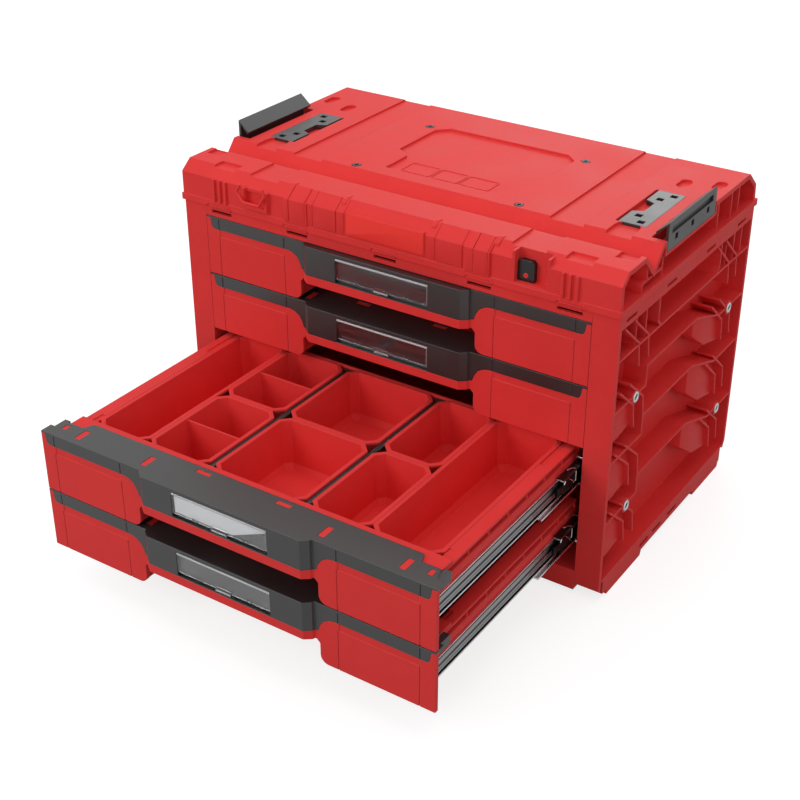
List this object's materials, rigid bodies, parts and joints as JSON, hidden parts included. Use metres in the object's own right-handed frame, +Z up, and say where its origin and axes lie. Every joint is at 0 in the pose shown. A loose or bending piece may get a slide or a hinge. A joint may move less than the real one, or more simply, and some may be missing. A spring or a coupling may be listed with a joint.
{
  "type": "modular drawer toolbox",
  "caption": "Stackable plastic tool chest: pull-out drawers on steel slides, loose bins, hinged label covers, stacking latches on a ribbed deck and ribbed sides with hand grips.",
  "frame": {"origin": "on the floor, at the middle of the base pad under the middle of the cabinet", "axes": "+Z up; -Y points out of the drawer fronts, the way the drawers pull; +X is on the right of someone who stands in front of the drawers"},
  "size_m": [0.585, 0.671, 0.4315],
  "materials": {
    "red_plastic": "satin, fine moulded grain",
    "dark_plastic": "satin, fine moulded grain",
    "clear_plastic": "clear, glossy",
    "steel": "bright zinc plate"
  },
  "bodies": {
    "cabinet": {"top_cover": "red_plastic", "side_panel_right": "red_plastic", "side_panel_left": "red_plastic", "base_panel": "red_plastic", "back_panel": "red_plastic", "drawer_1_cabinet_member_right": "steel", "drawer_1_cabinet_member_left": "steel", "drawer_2_cabinet_member_right": "steel", "drawer_2_cabinet_member_left": "steel", "drawer_3_cabinet_member_right": "steel", "drawer_3_cabinet_member_left": "steel", "drawer_4_cabinet_member_right": "steel", "drawer_4_cabinet_member_left": "steel"},
    "drawer_1": {"drawer_1_tub": "red_plastic", "drawer_1_front": "red_plastic", "drawer_1_trim": "dark_plastic", "drawer_1_drawer_member_right": "steel", "drawer_1_drawer_member_left": "steel"},
    "drawer_1_middle_slide": {"drawer_1_middle_member_right": "steel", "drawer_1_middle_member_left": "steel"},
    "drawer_1_label_flap": {"drawer_1_label_cover": "clear_plastic"},
    "drawer_2": {"drawer_2_tub": "red_plastic", "drawer_2_front": "red_plastic", "drawer_2_trim": "dark_plastic", "drawer_2_drawer_member_right": "steel", "drawer_2_drawer_member_left": "steel"},
    "drawer_2_middle_slide": {"drawer_2_middle_member_right": "steel", "drawer_2_middle_member_left": "steel"},
    "drawer_2_label_flap": {"drawer_2_label_cover": "clear_plastic"},
    "drawer_3": {"drawer_3_tub": "red_plastic", "drawer_3_front": "red_plastic", "drawer_3_trim": "dark_plastic", "drawer_3_drawer_member_right": "steel", "drawer_3_drawer_member_left": "steel", "drawer_3_long_bin_left": "red_plastic", "drawer_3_divided_bin_front": "red_plastic", "drawer_3_divided_bin_rear": "red_plastic", "drawer_3_divider_strip_left": "dark_plastic", "drawer_3_wide_bin_front": "red_plastic", "drawer_3_wide_bin_rear": "red_plastic", "drawer_3_divider_strip_right": "dark_plastic", "drawer_3_medium_bin_front": "red_plastic", "drawer_3_medium_bin_rear": "red_plastic", "drawer_3_long_bin_right": "red_plastic"},
    "drawer_3_middle_slide": {"drawer_3_middle_member_right": "steel", "drawer_3_middle_member_left": "steel"},
    "drawer_3_label_flap": {"drawer_3_label_cover": "clear_plastic"},
    "drawer_4": {"drawer_4_tub": "red_plastic", "drawer_4_front": "red_plastic", "drawer_4_trim": "dark_plastic", "drawer_4_drawer_member_right": "steel", "drawer_4_drawer_member_left": "steel"},
    "drawer_4_middle_slide": {"drawer_4_middle_member_right": "steel", "drawer_4_middle_member_left": "steel"},
    "drawer_4_label_flap": {"drawer_4_label_cover": "clear_plastic"},
    "latch_right": {"stacking_latch_right": "dark_plastic"},
    "lock_plate_right": {"deck_lock_plate_right": "dark_plastic"},
    "latch_left": {"stacking_latch_left": "dark_plastic"},
    "lock_plate_left": {"deck_lock_plate_left": "dark_plastic"},
    "central_lock": {"central_lock_slider": "dark_plastic"}
  },
  "joints": [
    {"name": "drawer_1_slide", "type": "slide", "parent": "cabinet", "child": "drawer_1", "axis": [0, -1, 0], "range_m": [0, 0.295]},
    {"name": "drawer_1_middle_slide_travel", "type": "slide", "parent": "cabinet", "child": "drawer_1_middle_slide", "axis": [0, -1, 0], "range_m": [0, 0.1475]},
    {"name": "drawer_1_label_flap_hinge", "type": "hinge", "parent": "drawer_1", "child": "drawer_1_label_flap", "pos_m": [0, -0.1894, 0.3434], "axis": [-1, 0, 0], "range_deg": [0, 90]},
    {"name": "drawer_2_slide", "type": "slide", "parent": "cabinet", "child": "drawer_2", "axis": [0, -1, 0], "range_m": [0, 0.295]},
    {"name": "drawer_2_middle_slide_travel", "type": "slide", "parent": "cabinet", "child": "drawer_2_middle_slide", "axis": [0, -1, 0], "range_m": [0, 0.1475]},
    {"name": "drawer_2_label_flap_hinge", "type": "hinge", "parent": "drawer_2", "child": "drawer_2_label_flap", "pos_m": [0, -0.1894, 0.2669], "axis": [-1, 0, 0], "range_deg": [0, 90]},
    {"name": "drawer_3_slide", "type": "slide", "parent": "cabinet", "child": "drawer_3", "axis": [0, -1, 0], "range_m": [-0.295, 0]},
    {"name": "drawer_3_middle_slide_travel", "type": "slide", "parent": "cabinet", "child": "drawer_3_middle_slide", "axis": [0, -1, 0], "range_m": [-0.1475, 0]},
    {"name": "drawer_3_label_flap_hinge", "type": "hinge", "parent": "drawer_3", "child": "drawer_3_label_flap", "pos_m": [0, -0.4844, 0.1904], "axis": [-1, 0, 0], "range_deg": [0, 90]},
    {"name": "drawer_4_slide", "type": "slide", "parent": "cabinet", "child": "drawer_4", "axis": [0, -1, 0], "range_m": [-0.295, 0]},
    {"name": "drawer_4_middle_slide_travel", "type": "slide", "parent": "cabinet", "child": "drawer_4_middle_slide", "axis": [0, -1, 0], "range_m": [-0.1475, 0]},
    {"name": "drawer_4_label_flap_hinge", "type": "hinge", "parent": "drawer_4", "child": "drawer_4_label_flap", "pos_m": [0, -0.4844, 0.1139], "axis": [-1, 0, 0], "range_deg": [0, 90]},
    {"name": "latch_right_hinge", "type": "hinge", "parent": "cabinet", "child": "latch_right", "pos_m": [0.2902, -0.012, 0.398], "axis": [0, 1, 0], "range_deg": [0, 90]},
    {"name": "lock_plate_right_slide", "type": "slide", "parent": "cabinet", "child": "lock_plate_right", "axis": [-1, 0, 0], "range_m": [0, 0.003]},
    {"name": "latch_left_hinge", "type": "hinge", "parent": "cabinet", "child": "latch_left", "pos_m": [-0.2902, -0.012, 0.398], "axis": [0, -1, 0], "range_deg": [0, 90]},
    {"name": "lock_plate_left_slide", "type": "slide", "parent": "cabinet", "child": "lock_plate_left", "axis": [1, 0, 0], "range_m": [0, 0.003]},
    {"name": "central_lock_slide", "type": "slide", "parent": "cabinet", "child": "central_lock", "axis": [0, 0, 1], "range_m": [0, 0.008]}
  ],
  "couplings": [
    {"joint": "drawer_1_middle_slide_travel", "follows": "drawer_1_slide", "ratio": 0.5},
    {"joint": "drawer_2_middle_slide_travel", "follows": "drawer_2_slide", "ratio": 0.5},
    {"joint": "drawer_3_middle_slide_travel", "follows": "drawer_3_slide", "ratio": 0.5},
    {"joint": "drawer_4_middle_slide_travel", "follows": "drawer_4_slide", "ratio": 0.5}
  ]
}
